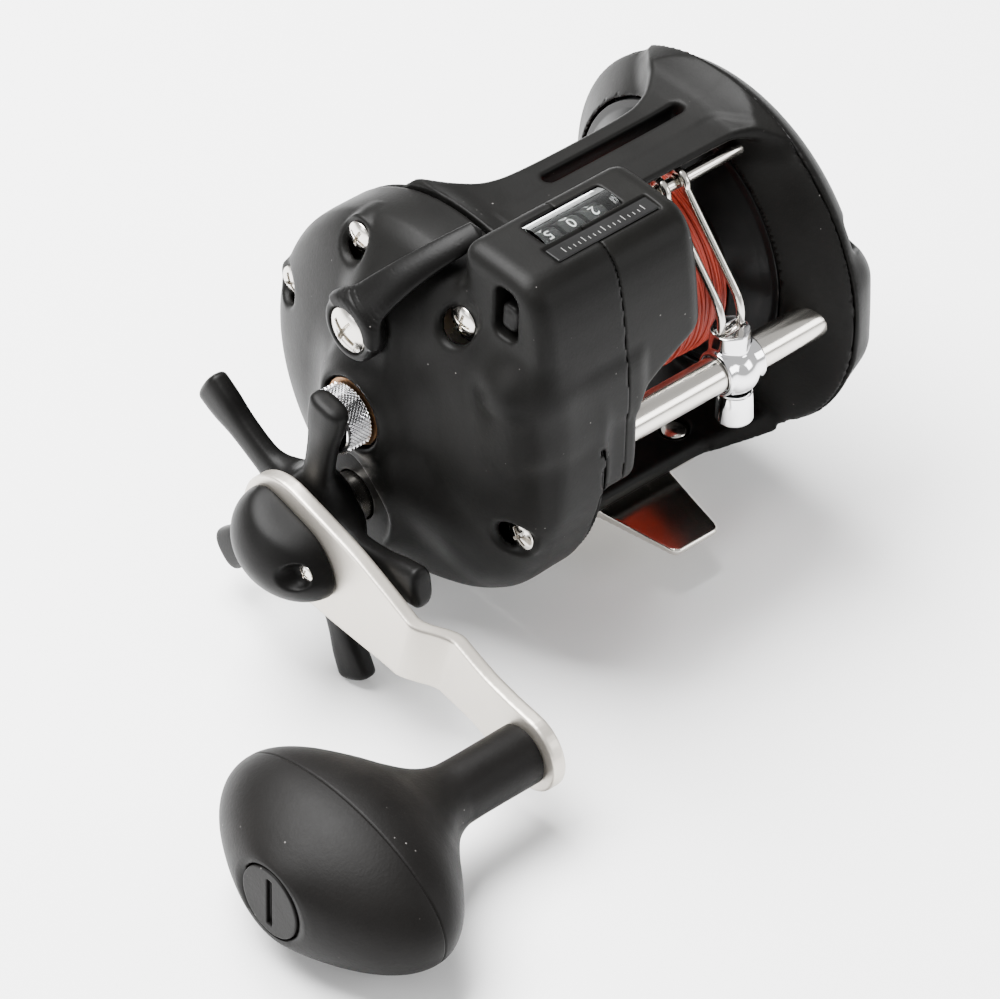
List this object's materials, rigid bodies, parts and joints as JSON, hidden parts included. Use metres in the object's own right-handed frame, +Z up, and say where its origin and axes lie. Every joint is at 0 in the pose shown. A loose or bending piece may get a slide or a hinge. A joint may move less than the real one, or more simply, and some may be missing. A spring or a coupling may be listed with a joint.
{
  "type": "trolling reel",
  "caption": "Level-wind trolling fishing reel with a line counter: round black side covers, red line on the spool, cranked silver handle with an oval knob, star drag and a steel foot.",
  "frame": {"origin": "centre of the flat sole of the reel foot, where it meets the rod's reel seat", "axes": "+Z up from the reel seat through the spool; -Y towards the rod tip and the level wind; -X towards the crank (the angler's right); the spool axis is parallel to X"},
  "size_m": [0.1709, 0.125, 0.0968],
  "materials": {
    "graphite_black": "satin black fibre-filled nylon, soft moulded texture",
    "counter_black": "satin black moulded nylon",
    "knob_black": "fine grained soft black moulding",
    "satin_black": "satin black",
    "polished_steel": "polished stainless steel",
    "chrome": "mirror chrome; the tension knob is diamond knurled",
    "anodised_silver": "bead-blasted, champagne-silver anodised",
    "bronze": "dull bronze",
    "brass": "cut brass",
    "bright_zinc": "zinc-plated pressing",
    "red_line": "dull red monofilament",
    "clear_window": "clear moulded acrylic",
    "label_black": "printed black plate",
    "wheel_black": "black wheels with white figures",
    "drag_fibre": "pressed fibre",
    "spool_black": "black anodised",
    "white_nylon": "natural nylon"
  },
  "bodies": {
    "body": {"frame": "graphite_black", "reel_foot": "polished_steel", "foot_rivet_1": "polished_steel", "foot_rivet_2": "polished_steel", "foot_rivet_3": "polished_steel", "foot_rivet_4": "polished_steel", "gear_side_cover": "graphite_black", "gear_cover_screw_1": "polished_steel", "gear_cover_screw_2": "polished_steel", "gear_cover_screw_3": "polished_steel", "gear_cover_screw_4": "polished_steel", "left_side_cover": "graphite_black", "left_cover_screw_1": "polished_steel", "left_cover_screw_2": "polished_steel", "left_cover_screw_3": "polished_steel", "gear_side_plate": "bright_zinc", "bearing_left": "polished_steel", "bearing_right": "polished_steel", "counter_housing": "counter_black", "counter_window": "clear_window", "counter_label": "label_black", "digit_wheel_axle": "polished_steel", "cast_control_washer": "bronze", "worm_tube": "polished_steel", "guide_rod": "polished_steel", "clutch_lever_screw": "polished_steel"},
    "crank": {"drive_shaft": "polished_steel", "handle_arm": "anodised_silver", "handle_nut": "polished_steel", "handle_nut_cover": "satin_black", "nut_cover_screw": "polished_steel", "knob_spindle": "polished_steel", "main_gear": "brass", "drag_washer_fibre": "drag_fibre", "drag_washer_steel": "polished_steel", "drag_sleeve": "polished_steel", "anti_reverse_ratchet": "polished_steel"},
    "star_wheel": {"star_drag": "satin_black"},
    "knob": {"handle_knob": "knob_black", "knob_end_cap": "knob_black"},
    "spool_group": {"spool": "spool_black", "wound_line": "red_line", "spool_shaft": "polished_steel", "levelwind_drive_gear": "white_nylon"},
    "pinion": {"pinion_gear": "brass"},
    "yoke": {"clutch_yoke": "bright_zinc"},
    "clutch": {"clutch_lever": "satin_black"},
    "cast_control": {"cast_control_knob": "chrome"},
    "worm": {"worm_shaft": "polished_steel", "worm_gear": "white_nylon"},
    "idler": {"levelwind_idler_gear": "white_nylon"},
    "units_wheel": {"digit_wheel_units": "wheel_black"},
    "tens_wheel": {"digit_wheel_tens": "wheel_black"},
    "hundreds_wheel": {"digit_wheel_hundreds": "wheel_black"},
    "reset_button": {"counter_reset_button": "satin_black"},
    "carriage": {"levelwind_carriage": "chrome", "pawl_cap": "chrome", "line_guide_wires": "polished_steel"},
    "pawl": {"levelwind_pawl": "bronze"},
    "dog": {"anti_reverse_dog": "polished_steel"}
  },
  "joints": [
    {"name": "crank_turn", "type": "hinge", "parent": "body", "child": "crank", "pos_m": [-0.06, 0.0018, 0.0223], "axis": [1, 0, 0], "continuous": true},
    {"name": "star_turn", "type": "hinge", "parent": "crank", "child": "star_wheel", "pos_m": [-0.067, 0.0018, 0.0223], "axis": [1, 0, 0], "range_deg": [-90, 90]},
    {"name": "knob_spin", "type": "hinge", "parent": "crank", "child": "knob", "pos_m": [-0.1, -0.0602, 0.0077], "axis": [1, 0, 0], "continuous": true},
    {"name": "spool_spin", "type": "hinge", "parent": "body", "child": "spool_group", "pos_m": [-0.002, 0, 0.045], "axis": [1, 0, 0], "continuous": true},
    {"name": "yoke_slide", "type": "slide", "parent": "body", "child": "yoke", "axis": [-1, 0, 0], "range_m": [0, 0.0015]},
    {"name": "pinion_spin", "type": "hinge", "parent": "yoke", "child": "pinion", "pos_m": [-0.044, 0, 0.045], "axis": [1, 0, 0], "continuous": true},
    {"name": "clutch_turn", "type": "hinge", "parent": "body", "child": "clutch", "pos_m": [-0.058, 0.0005, 0.0645], "axis": [1, 0, 0], "range_deg": [-28, 0]},
    {"name": "cast_control_turn", "type": "hinge", "parent": "body", "child": "cast_control", "pos_m": [-0.0625, 0, 0.045], "axis": [1, 0, 0], "range_deg": [-180, 180]},
    {"name": "worm_spin", "type": "hinge", "parent": "body", "child": "worm", "pos_m": [0, -0.033, 0.042], "axis": [1, 0, 0], "continuous": true},
    {"name": "idler_spin", "type": "hinge", "parent": "body", "child": "idler", "pos_m": [-0.0385, -0.01714, 0.05051], "axis": [1, 0, 0], "continuous": true},
    {"name": "units_wheel_spin", "type": "hinge", "parent": "body", "child": "units_wheel", "pos_m": [-0.0324, -0.0225, 0.0816], "axis": [1, 0, 0], "continuous": true},
    {"name": "tens_wheel_spin", "type": "hinge", "parent": "body", "child": "tens_wheel", "pos_m": [-0.0269, -0.0225, 0.0816], "axis": [1, 0, 0], "continuous": true},
    {"name": "hundreds_wheel_spin", "type": "hinge", "parent": "body", "child": "hundreds_wheel", "pos_m": [-0.0214, -0.0225, 0.0816], "axis": [1, 0, 0], "continuous": true},
    {"name": "reset_press", "type": "slide", "parent": "body", "child": "reset_button", "axis": [1, 0, 0], "range_m": [0, 0.0018], "stiffness_N_per_m": 400},
    {"name": "carriage_slide", "type": "slide", "parent": "body", "child": "carriage", "axis": [1, 0, 0], "range_m": [-0.0231, 0.0109]},
    {"name": "pawl_swivel", "type": "hinge", "parent": "carriage", "child": "pawl", "pos_m": [0.0061, -0.033, 0.036], "axis": [0, 0, 1], "range_deg": [-30, 30]},
    {"name": "dog_lift", "type": "hinge", "parent": "body", "child": "dog", "pos_m": [-0.039, 0.0175, 0.0306], "axis": [1, 0, 0], "range_deg": [-14, 0], "stiffness_Nm_per_rad": 0.004}
  ],
  "couplings": [
    {"joint": "spool_spin", "follows": "crank_turn", "ratio": -3},
    {"joint": "pinion_spin", "follows": "crank_turn", "ratio": -3},
    {"joint": "idler_spin", "follows": "crank_turn", "ratio": 1},
    {"joint": "worm_spin", "follows": "crank_turn", "ratio": -3},
    {"joint": "units_wheel_spin", "follows": "crank_turn", "ratio": 0.15},
    {"joint": "tens_wheel_spin", "follows": "crank_turn", "ratio": 0.015},
    {"joint": "hundreds_wheel_spin", "follows": "crank_turn", "ratio": 0.0015},
    {"joint": "yoke_slide", "follows": "clutch_turn", "m_per_rad": -0.003}
  ]
}
